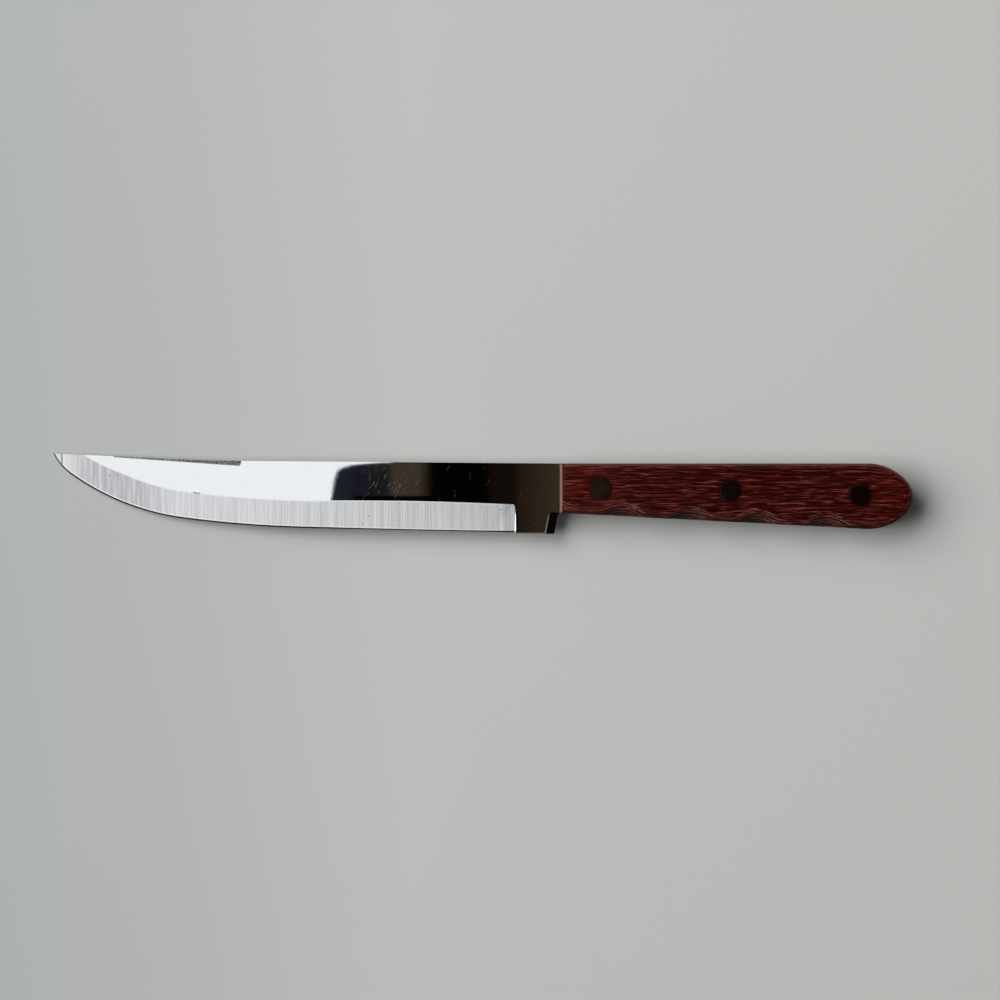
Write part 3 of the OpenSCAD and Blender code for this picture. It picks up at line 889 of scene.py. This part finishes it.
@dataclass
class Blade:
    """The blade and tang: the CAD solid, with its arrises eased and each ground surface finished."""

    node: str = "blade"
    edge_break: float = 0.12 * MM
    edge_segments: int = 3
    eased_over: Span = (-85 * MM, 25.3 * MM)
    upright_and_flat: Span = (0.05, 0.99)
    coplanar: float = 0.02
    crisp_from: float = 25.0
    flat_tilt: float = 1.0
    bevel_tilt: float = 11.0
    hone_tilt: Span = (18.0, 22.0)
    false_edge_tilt: Span = (23.0, 27.0)
    relief_tilt: Span = (10.5, 14.0)
    plunge_tilt: float = 80.0
    plunge_x: Span = (10.8 * MM, 12.5 * MM)
    middle_height: float = 7.25 * MM
    tang_from: float = 28 * MM

    def surface_of(self, face: bmesh.types.BMFace) -> Surface:
        """Tells which surface a face belongs to, by how far it leans from the blade's flat.

        Args:
            face: A face of the blade.

        Returns:
            Its surface.
        """
        tilt = math.degrees(math.acos(min(1.0, abs(face.normal.z))))
        middle = face.calc_center_median()
        if tilt < self.flat_tilt:
            return Surface.POLISHED
        if self.relief_tilt[0] < tilt < self.relief_tilt[1] and middle.x > self.plunge_x[1]:
            return Surface.RELIEF
        if tilt < self.bevel_tilt:
            return Surface.BEVEL
        if self.hone_tilt[0] < tilt < self.hone_tilt[1]:
            return Surface.HONED
        if self.false_edge_tilt[0] < tilt < self.false_edge_tilt[1] and middle.y > 0:
            return Surface.FALSE_EDGE
        if self.plunge_x[0] < middle.x < self.plunge_x[1] and tilt < self.plunge_tilt and middle.y < 0:
            return Surface.BEVEL
        return Surface.SIDE

    def eased(self, edge: bmesh.types.BMEdge) -> bool:
        """Tells whether an edge is one of the arrises that are eased, along the spine and under the heel.

        Args:
            edge: An edge of the blade.

        Returns:
            True for an edge between a flat and an upright side that the scales leave bare.
        """
        if not edge.is_manifold or edge.calc_length() < 6 * self.edge_break:
            return False
        kinds = sorted(abs(f.normal.z) for f in edge.link_faces)
        upright, flat = self.upright_and_flat
        start, end = self.eased_over
        return kinds[0] < upright and kinds[1] > flat and all(start < v.co.x < end for v in edge.verts)

    def between(self, bm: BMesh, one: Surface, other: Surface) -> list[bmesh.types.BMEdge]:
        """The edges between two surfaces."""
        wanted = {one.value, other.value}
        return [e for e in bm.edges if {f.material_index for f in e.link_faces} == wanted]

    def from_border(self, bm: BMesh, other: Surface) -> np.ndarray:
        """Measures, seen from above, how far each point lies from the bevel's border with another surface.

        Args:
            bm: The blade's mesh, with its surfaces told apart.
            other: The surface on the border's other side.

        Returns:
            A distance for each vertex.
        """
        ends = np.array([[v.co.xy[:] for v in e.verts] for e in self.between(bm, Surface.BEVEL, other)])
        start, end = ends[ends[:, :, 0].max(1) < self.plunge_x[0]].transpose(1, 0, 2)
        points = np.array([v.co.xy[:] for v in bm.verts])[:, None]
        run = end - start
        share = ((points - start) * run).sum(2) / np.maximum((run ** 2).sum(1), 1e-18)
        nearest = start + np.clip(share, 0, 1)[..., None] * run
        return np.linalg.norm(points - nearest, axis=2).min(1)

    def border(self, bm: BMesh, other: Surface, whole: bool = False) -> tuple[Spot, Spot]:
        """Finds the ends of the upper border between the flat and another surface, in front of the handle.

        Args:
            bm: The blade's mesh, with its surfaces told apart.
            other: The surface beside the flat.
            whole: The border runs along the back, in several edges that are taken together.

        Returns:
            The two ends.
        """
        edges = [e for e in self.between(bm, Surface.POLISHED, other)
                 if all(v.co.x < self.tang_from and (v.co.y > 0) == whole and v.co.z > self.middle_height
                        for v in e.verts)]
        if not whole:
            edges = [max(edges, key=lambda e: e.calc_length())]
        spots = [v.co for e in edges for v in e.verts]
        return tuple(tuple(pick(spots, key=lambda p: p.x)) for pick in (min, max))

    def shade(self, bm: BMesh) -> None:
        """Tells the surfaces apart and keeps the flats and every border crisp.

        Args:
            bm: The blade's mesh, which is changed.
        """
        bm.normal_update()
        for face in bm.faces:
            face.material_index = self.surface_of(face).value
        soften(bm, self.crisp_from)
        for edge in bm.edges:
            if len({f.material_index for f in edge.link_faces}) > 1:
                edge.smooth = False
        for face in bm.faces:
            face.smooth = face.material_index != Surface.POLISHED.value

    def build(self) -> Object:
        """Makes the blade.

        Returns:
            The blade's piece.
        """
        bm = bmesh.new()
        bm.from_mesh(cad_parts[self.node].data)
        bmesh.ops.remove_doubles(bm, verts=bm.verts, dist=MERGE)
        bmesh.ops.dissolve_limit(bm, angle_limit=math.radians(self.coplanar), verts=bm.verts, edges=bm.edges)
        corners = [e for e in bm.edges if self.eased(e)]
        bmesh.ops.bevel(bm, geom=corners, offset=self.edge_break, segments=self.edge_segments, profile=0.5,
                        affect="EDGES", clamp_overlap=True)
        self.shade(bm)
        from_borders = np.zeros((len(bm.verts), 3))
        from_borders[:, 0] = self.from_border(bm, Surface.POLISHED)
        from_borders[:, 1] = self.from_border(bm, Surface.HONED)
        arrises = self.border(bm, Surface.SIDE), self.border(bm, Surface.RELIEF)
        # The false edge's border, which places the painted dark band on the flat.
        painted_band = self.border(bm, Surface.FALSE_EDGE, whole=True)
        piece = new_piece(bm, self.node, self.finishes(arrises, painted_band))
        stored = piece.data.attributes.new(BevelSteel.borders, "FLOAT_VECTOR", "POINT")
        stored.data.foreach_set("vector", from_borders.ravel())
        return piece

    def finishes(self, arrises: tuple[tuple[Spot, Spot], ...], painted_band: tuple[Spot, Spot]) -> list[Finish]:
        """The finish of each surface, in the order of Surface.

        Args:
            arrises: The ends of each arris of the flats that is worn dull.
            painted_band: The ends of the false edge's border, along which the flat gets a painted dark band.

        Returns:
            The finishes.
        """
        return [
            PolishedSteel("steel_mirror", arrises=arrises, painted_band=painted_band),
            BevelSteel("steel_bevel", top=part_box("scale_right")[1].y),
            # The hone's dark colours are a painted dark reflection.
            HonedSteel("steel_honed", colour=(0.3, 0.3, 0.31), dark=(0.2, 0.2, 0.21), roughness=0.1,
                       pits=0.0),
            RoughSteel("steel_rough"),
            PolishedSteel("steel_relief", colour=(0.6, 0.6, 0.6), roughness=0.06),
            GroundSteel("steel_side", colour=(0.6, 0.6, 0.61), dark=(0.4, 0.4, 0.41), line_turn=0.0, pits=0.0,
                        upright=1.0),
        ]


# ---------------------------------------------------------------- handle


@dataclass
class HandleShape:
    """The driving sizes of the handle, from the front of the scales and the top line of the knife."""

    length: float = 125 * MM
    front_height: float = 17.6 * MM
    flare: float = 3.0
    butt_radius: float = 8.75 * MM
    butt_turn: float = 90.0
    tang_thickness: float = 1.9 * MM
    scale_thickness: float = 6.3 * MM
    rounding: float = 1.5 * MM
    front_chamfer: float = 1.2 * MM
    rivet_x: Spot = (14.4 * MM, 60.3 * MM, 106.2 * MM)
    rivet_y: Spot = (-8.9 * MM, -9.7 * MM, -11.4 * MM)
    origin: Vector = field(default_factory=lambda: Vector((0, 0, 0)))

    def __post_init__(self) -> None:
        """Finds the handle's front top corner, on the middle plane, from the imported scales."""
        low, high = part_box("scale_right")
        self.origin = Vector((low.x, high.y, low.z - self.tang_thickness / 2))

    @property
    def face(self) -> float:
        """Height of a scale's face over the middle plane."""
        return self.tang_thickness / 2 + self.scale_thickness

    def bottom(self, x: float) -> float:
        """The lower line of the handle at a distance from the front."""
        return -self.front_height - x * math.tan(math.radians(self.flare))

    def outline(self, spacing: float) -> Outline:
        """Lays out the handle from its front top corner round the butt to its front bottom corner.

        Args:
            spacing: The widest gap between points.

        Returns:
            The points, and the heading at each.
        """
        flare = math.radians(self.flare)
        lean = math.radians((self.butt_turn - self.flare) / 2)
        centre_x = self.length - self.butt_radius
        depth = (centre_x + self.front_height / math.tan(flare)) * math.tan(flare / 2)
        side = (depth - self.butt_radius * math.sin(lean)) / (1 - math.sin(lean))
        top_run = centre_x - (side - self.butt_radius) * math.cos(lean)
        bottom_run = top_run - self.front_height * (1 / math.sin(flare) - 1 / math.tan(flare))
        shoulder = 90 - math.degrees(lean)
        walk = [(np.zeros(2), 0.0)]
        for leg in (Leg(top_run, side, shoulder), Leg(0, self.butt_radius, self.butt_turn),
                    Leg(0, side, shoulder), Leg(bottom_run)):
            walk += leg.points(*walk[-1], spacing)
        return np.array([p for p, _ in walk]), np.array([h for _, h in walk])

    def rivet_spots(self) -> list[Vector]:
        """Where the rivets' axes cross the middle plane, in the knife's own frame."""
        return [self.origin + Vector((x, y, 0)) for x, y in zip(self.rivet_x, self.rivet_y)]


class Side(Enum):
    """The side of the blade that a scale or a rivet's half lies on. The value is its direction along Z."""

    RIGHT = 1
    LEFT = -1


@dataclass
class FingerGrooves:
    """The grooves ground across the lower corner of a scale."""

    count: int = 4
    first: float = 21.7 * MM
    pitch: float = 24.2 * MM
    reach: float = 3.8 * MM
    radius: float = 10.8 * MM
    softness: float = 0.6 * MM

    def grind(self, points: np.ndarray, shape: HandleShape) -> np.ndarray:
        """Pushes the points inside each groove's cutter onto its surface, with a soft border.

        Args:
            points: Points of a right scale, over the middle plane.
            shape: The handle's sizes.

        Returns:
            The moved points.
        """
        slope = math.sqrt(0.5)
        off = self.radius - self.reach * slope
        flare = math.radians(shape.flare)
        inward = np.array([slope * math.sin(flare), slope * math.cos(flare), -slope])
        along = inward * (1, 1, -1)
        moved = points.copy()
        for i in range(self.count):
            x = self.first + i * self.pitch
            axis = np.array([x, shape.bottom(x) - off * slope, shape.face + off * slope])
            away = moved - axis
            away -= np.outer(away @ along, along)
            deep = away @ inward
            inside = deep ** 2 - (away ** 2).sum(1) + self.radius ** 2
            push = np.where(inside > 0, np.sqrt(np.maximum(inside, 0)) - deep, -1.0)
            soft = (push + np.sqrt(push ** 2 + self.softness ** 2)) / 2
            near = np.clip(1 + push / (4 * self.softness), 0, 1)
            moved += np.outer(soft * near, inward)
        return moved


@dataclass
class Scale:
    """One wooden scale, laid up in rings from the tang to its face."""

    side: Side
    shape: HandleShape
    grooves: FingerGrooves = field(default_factory=FingerGrooves)
    spacing: float = 0.4 * MM
    face_depth: float = 6.4 * MM
    side_steps: int = 14
    round_steps: int = 12
    round_width: float = 2.5 * MM
    head_hole: float = 3.65 * MM
    tube_hole: float = 2.45 * MM
    head_floor: float = 1.35 * MM
    crisp_from: float = 30.0

    @property
    def node(self) -> str:
        """The CAD node that the scale stands for."""
        return "scale_" + self.side.name.lower()

    def levels(self) -> list[Span]:
        """Lists the rings, from the tang up the side, round the corner and over the face.

        Returns:
            Pairs of height over the middle plane and inset from the outline.
        """
        top, r, width = self.shape.face, self.shape.rounding, self.round_width
        side = np.linspace(self.shape.tang_thickness / 2, top - r, self.side_steps)
        turns = [math.radians(90 * (k + 1) / self.round_steps) for k in range(self.round_steps)]
        corner = [(top - r + r * math.sin(a), width - width * math.cos(a)) for a in turns]
        over = [(top, inset) for inset in np.arange(width + self.spacing, self.face_depth, self.spacing)]
        return [(z, 0.0) for z in side] + corner + over

    def ring(self, z: float, inset: float, outline: Outline) -> np.ndarray:
        """Lays one ring of points.

        Args:
            z: Its height over the middle plane.
            inset: How far it lies inside the outline.
            outline: The handle's points and headings.

        Returns:
            The ring's points.
        """
        points, headings = outline
        inward = np.stack([np.sin(np.radians(headings)), -np.cos(np.radians(headings))], 1)
        ring = points + inward * inset
        front = max(0.0, z - self.shape.face + self.shape.front_chamfer)
        ring[:, 0] = np.maximum(ring[:, 0], front)
        return np.column_stack([ring, np.full(len(ring), z)])

    def build(self, wood: Finish) -> Object:
        """Makes the scale.

        Args:
            wood: Its finish.

        Returns:
            The scale's piece.
        """
        outline = self.shape.outline(self.spacing)
        rings = [self.ring(z, inset, outline) for z, inset in self.levels()]
        size = len(rings[0])
        points = self.grooves.grind(np.concatenate(rings), self.shape)
        points[:, 2] *= self.side.value
        points += np.array(self.shape.origin)

        bm = bmesh.new()
        verts = [bm.verts.new(p) for p in points]
        for i in range(len(rings) - 1):
            lower, upper = verts[i * size:(i + 1) * size], verts[(i + 1) * size:(i + 2) * size]
            for j in range(size):
                k = (j + 1) % size
                bm.faces.new((lower[j], lower[k], upper[k], upper[j]))
        bm.faces.new(verts[:size])
        bm.faces.new(verts[-size:])
        bmesh.ops.remove_doubles(bm, verts=bm.verts, dist=2 * MERGE)
        bmesh.ops.dissolve_degenerate(bm, edges=bm.edges, dist=MERGE)
        bmesh.ops.recalc_face_normals(bm, faces=bm.faces)
        soften(bm, self.crisp_from)
        piece = new_piece(bm, self.node, [wood])
        self.drill(piece)
        return piece

    def drill(self, piece: Object) -> None:
        """Cuts the rivets' stepped holes.

        Args:
            piece: The scale's piece, which is changed.
        """
        bm = bmesh.new()
        seat = self.shape.face - self.head_floor
        for spot in self.shape.rivet_spots():
            for radius, low, high in (
                    (self.tube_hole, 0.0, seat), (self.head_hole, seat, self.shape.face + MM)):
                middle = Matrix.Translation(spot + Vector((0, 0, self.side.value * (low + high) / 2)))
                bmesh.ops.create_cone(bm, cap_ends=True, segments=TURNED_SEGMENTS, radius1=radius,
                                      radius2=radius, depth=high - low, matrix=middle)
        cutter = from_bmesh("drill", bm)
        cut = piece.modifiers.new("rivet_holes", "BOOLEAN")
        cut.operation = "DIFFERENCE"
        cut.solver = "EXACT"
        cut.use_self = True
        cut.object = cutter
        drilled = bpy.data.meshes.new_from_object(piece.evaluated_get(bpy.context.evaluated_depsgraph_get()))
        piece.modifiers.clear()
        piece.data = drilled
        bpy.data.objects.remove(cutter)
        bm = bmesh.new()
        bm.from_mesh(drilled)
        soften(bm, self.crisp_from, faces=False)
        bm.to_mesh(drilled)
        bm.free()


class Half(Enum):
    """The halves of a rivet. The value is the side that its head lies on."""

    MALE = Side.RIGHT
    FEMALE = Side.LEFT


@dataclass
class RivetHalf:
    """Half of a rivet, turned about its axis: a flush head on a shank or on the tube round it."""

    place: str
    half: Half
    spot: Vector
    shape: HandleShape
    head_radius: float = 3.6 * MM
    head_thickness: float = 1.3 * MM
    sink: float = 0.05 * MM
    edge_round: float = 0.07 * MM
    tube_radius: float = 2.4 * MM
    shank_radius: float = 1.6 * MM
    shank_clearance: float = 0.02 * MM
    shank_end_gap: float = 0.6 * MM
    tube_end_gap: float = 1.2 * MM
    round_steps: int = 4
    crisp_from: float = 35.0

    @property
    def node(self) -> str:
        """The CAD node that the half stands for."""
        return f"rivet_{self.place}_{self.half.name.lower()}"

    def profile(self) -> list[Span]:
        """Lists the outline of half a section, with its head up.

        Returns:
            Pairs of radius and height over the middle plane, from the axis at the top to the axis below.
        """
        top = self.shape.face - self.sink
        seat = top - self.head_thickness
        r = self.edge_round
        turns = [math.radians(90 * k / self.round_steps) for k in range(self.round_steps + 1)]
        head = [(0.0, top), (self.head_radius - 1.3 * r, top)]
        head += [(self.head_radius - r + r * math.sin(a), top - r + r * math.cos(a)) for a in turns]
        head.append((self.head_radius, seat))
        if self.half is Half.MALE:
            end = self.shank_end_gap - seat
            return head + [(self.shank_radius, seat), (self.shank_radius, end), (0.0, end)]
        end = self.tube_end_gap - seat
        bore = self.shank_radius + self.shank_clearance
        tube = [(self.tube_radius, seat), (self.tube_radius, end), (bore, end), (bore, seat)]
        return head + tube + [(0.0, seat)]

    def build(self) -> Object:
        """Makes the half.

        Returns:
            The half's piece.
        """
        bm = bmesh.new()
        flip = self.half.value.value
        points = [bm.verts.new(self.spot + Vector((r, 0, flip * z))) for r, z in self.profile()]
        edges = [bm.edges.new(pair) for pair in zip(points, points[1:])]
        bmesh.ops.spin(bm, geom=points + edges, cent=self.spot, axis=(0, 0, 1), angle=math.tau,
                       steps=TURNED_SEGMENTS, use_merge=True)
        bmesh.ops.remove_doubles(bm, verts=bm.verts, dist=MERGE)
        bmesh.ops.recalc_face_normals(bm, faces=bm.faces)
        soften(bm, self.crisp_from)
        finish = NickelSilver(f"nickel_silver_{self.place}", (self.spot.x, self.spot.y), self.head_radius)
        return new_piece(bm, self.node, [finish])


@dataclass
class Handle:
    """The two scales and the three rivets that hold them to the tang."""

    shape: HandleShape = field(default_factory=HandleShape)
    places: tuple[str, str, str] = ("front", "middle", "rear")

    def build(self) -> list[Object]:
        """Makes the scales and the rivets.

        Returns:
            Their pieces.
        """
        wood = VeneerWood("veneer_wood", self.shape, FingerGrooves(), Scale.head_hole)
        pieces = [Scale(side, self.shape).build(wood) for side in Side]
        for place, spot in zip(self.places, self.shape.rivet_spots()):
            pieces += [RivetHalf(place, half, spot, self.shape).build() for half in Half]
        return pieces


# ---------------------------------------------------------------- stage, lights and camera


@dataclass
class Studio:
    """A pale table, a window light, soft room light, and the dark side of the room that the steel mirrors."""

    scale: float = 0.3555 * MM
    centre: Span = (500.0, 500.0)
    corner: Span = (560.0, 463.5)
    frame_width: float = 1000.0
    focus_height: float = 10.5 * MM
    mirror_height: float = 8.2 * MM
    camera_height: float = 1.4
    sensor: float = 36.0
    floor_size: float = 6.0
    floor_rise: float = 6.1 * MM
    floor_steps: int = 60
    rise_from: float = -25 * MM
    rise_to: float = -150 * MM
    card_height: float = 1.8
    card_side: float = 1.5
    card_half: float = 0.6
    card_front: float = 1.7
    card_glow: float = 1.15
    card_edge: tuple[Span, ...] = (
        (600, 680), (525, 680), (505, 550), (331, 550), (330.5, 503), (332, 492), (334, 480), (337, 471),
        (343, 467.2), (352, 465), (366, 463.6), (380, 462.8), (392, 462.4), (640, 462.4))
    card_row: float = 500.0
    beam_rows: Span = (495.5, 496.5)
    beam_front: Span = (350.0, 356.0)
    beam_back: Span = (490.0, 430.0)
    window_at: Spot = (-1.562, 0.538, 1.741)
    window_size: Span = (2.54, 2.04)
    window_power: float = 91.0
    window_colour: Colour = (1.0, 0.99, 0.97)
    room_colour: Colour = (0.97, 0.985, 1.0)
    room_light: float = 0.27
    pane_light: float = 2.2
    background: float = 0.85

    def on_table(self, x: float, y: float) -> Vector:
        """Where a column and a row of the frame, counted from its top left, lie on the knife's own plane."""
        low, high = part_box("scale_right")
        return Vector((low.x, high.y, 0)) + Vector((x - self.corner[0], self.corner[1] - y, 0)) * self.scale

    def mirrored(self, x: float, y: float) -> Vector:
        """Where the card shows at a point of the blade, seen from the camera.

        Args:
            x: The point's column in the frame.
            y: Its row.

        Returns:
            The point on the card.
        """
        middle = self.on_table(*self.centre)
        reach = 1 + (self.card_height - self.mirror_height) / self.camera_height
        spot = middle + (self.on_table(x, y) - middle) * reach
        return Vector((spot.x, spot.y, self.card_height))

    def across(self, *columns: float) -> list[float]:
        """Where columns of the frame show along the card."""
        return [self.mirrored(column, self.card_row).x for column in columns]

    def camera(self) -> None:
        """Hangs the camera straight over the knife."""
        data = bpy.data.cameras.new("camera")
        data.sensor_width = self.sensor
        data.lens = self.sensor * self.camera_height / (self.frame_width * self.scale)
        camera = in_scene("camera", data)
        camera.location = self.on_table(*self.centre)
        camera.location.z = self.focus_height + self.camera_height
        bpy.context.scene.camera = camera

    def floor(self) -> None:
        """Lays the table top under the knife, a little higher under the point than under the handle."""
        half = self.floor_size / 2
        steps = np.linspace(self.rise_from, self.rise_to, self.floor_steps)
        share = (steps - self.rise_from) / (self.rise_to - self.rise_from)
        heights = self.floor_rise * share ** 2 * (3 - 2 * share)
        line = [(half, 0.0), *zip(steps, heights), (-half, self.floor_rise)]
        bm = bmesh.new()
        rows = [[bm.verts.new((x, y, z)) for y in (-half, half)] for x, z in line]
        for (a, b), (c, d) in zip(rows, rows[1:]):
            bm.faces.new((a, b, d, c)).smooth = True
        bm.normal_update()
        floor = from_bmesh("table", bm)
        floor.data.materials.append(TablePaint("table_paint").material())

    def card_paint(self) -> bpy.types.Material:
        """Paints the card with the tones of a dim room, with one dark beam near its front.

        Returns:
            The material.
        """
        material = bpy.data.materials.new("dark_card")
        kit = bare_tree(material)
        x, y, _ = kit.get("TexCoord", "Object").split()
        navy, brown, black, umber = tone(26, 28, 36), tone(57, 48, 39), tone(3, 3, 3), tone(18, 12, 8)
        stops = [(335, tone(24, 33, 42)), (346, navy), (358, tone(22, 22, 33)), (366, tone(22, 24, 27)),
                 (386, tone(25, 26, 25)), (395, brown), (417, brown), (432, black), (486, black),
                 (492, umber), (514, umber), (522, tone(34, 25, 18)), (560, tone(50, 42, 30)),
                 (610, tone(44, 36, 26)), (728, tone(28, 15, 13)), (860, tone(26, 10, 8)), (1100, tone(9, 8, 7))]
        start, end = stops[0][0], stops[-1][0]
        ramp = kit.add("ValToRGB", {0: x.fit(*self.across(start, end))})
        elements = ramp.color_ramp.elements
        for place, colour in stops[1:-1]:
            elements.new((place - start) / (end - start)).color = (*colour, 1)
        elements[0].color, elements[-1].color = (*stops[0][1], 1), (*stops[-1][1], 1)
        rows = (self.mirrored(self.centre[0], row).y for row in self.beam_rows)
        beam = y.fit(*rows) * x.fit(*self.across(*self.beam_front)) * x.fit(*self.across(*self.beam_back))
        shown = beam.mix(Field(kit, ramp.outputs[0]), black)
        glow = kit.get("Emission", 0, {"Color": shown, "Strength": self.card_glow})
        kit.add("OutputMaterial", {"Surface": glow})
        return material

    def dark_card(self) -> None:
        """Hangs the card that stands for the dark side of the room, which only glossy surfaces mirror."""
        *near, side = (self.mirrored(x, y) for x, y in self.card_edge)
        far = [(near[-1].x, self.card_half), (self.card_side, self.card_half),
               (self.card_side, -self.card_front), (side.x, -self.card_front)]
        bm = bmesh.new()
        corners = near + [Vector((x, y, self.card_height)) for x, y in far]
        bm.faces.new([bm.verts.new(spot) for spot in corners])
        card = from_bmesh("dark_card", bm)
        card.data.materials.append(self.card_paint())
        card.visible_camera = card.visible_diffuse = card.visible_shadow = card.visible_transmission = False

    def window(self) -> None:
        """Hangs the soft window light at the upper left."""
        data = bpy.data.lights.new("window", "AREA")
        data.shape = "RECTANGLE"
        data.size, data.size_y = self.window_size
        data.energy = self.window_power
        data.color = self.window_colour
        light = in_scene("window", data)
        light.location = self.window_at
        light.rotation_euler = (-light.location).to_track_quat("-Z", "Y").to_euler()
        light.visible_camera = light.visible_glossy = False

    def room(self) -> None:
        """Lights the room softly: a white ceiling, dark walls, and pale things low on the window's side."""
        world = bpy.data.worlds.new("room")
        bpy.context.scene.world = world
        kit = bare_tree(world)
        x, y, z = kit.get("TexCoord", "Generated").split()
        diffuse = x.fit(0.2, -0.7, 0.15 * self.room_light, self.room_light)
        lean = y * 0.8 - x * 0.6
        low = lean.fit(-0.4, 0.5, 0.28, 0.98, smooth=True)
        pane = x.fit(-0.8, -0.95, 0.0, self.pane_light, smooth=True)
        wall = z.fit(0.35, 0.6).blend(low + pane, lean.fit(0.1, 0.4, 0.05, 0.4))
        near = z.fit(0.83, 0.87, 0.0, 0.94) * (y.fit(-0.05, -0.12) * x.fit(0.3, 0.15))
        far = z.fit(0.86, 0.95, 0.0, 0.86)
        mirrored = wall + (near.most(far) + z.fit(0.982, 0.991, 0.0, 0.1))
        lit = kit.get("LightPath", "Is Glossy Ray").blend(diffuse, mirrored)
        shown = kit.get("LightPath", "Is Camera Ray").blend(lit, self.background)
        back = kit.get("Background", 0, {"Color": self.room_colour, "Strength": shown})
        kit.add("OutputWorld", {"Surface": back})

    def build(self) -> None:
        """Sets the stage."""
        bpy.context.scene.view_settings.view_transform = "Standard"
        for step in (self.floor, self.dark_card, self.window, self.room, self.camera):
            step()
        LOG.info("stage: table, card, window and camera")


def main() -> None:
    """Builds the knife and its stage, and reports each piece."""
    logging.basicConfig(level=logging.INFO, format="%(name)s: %(message)s")
    for piece in [Blade().build(), *Handle().build()]:
        LOG.info("%s: %d faces", piece.name, len(piece.data.polygons))
    Studio().build()


if __name__ == "__main__":
    main()
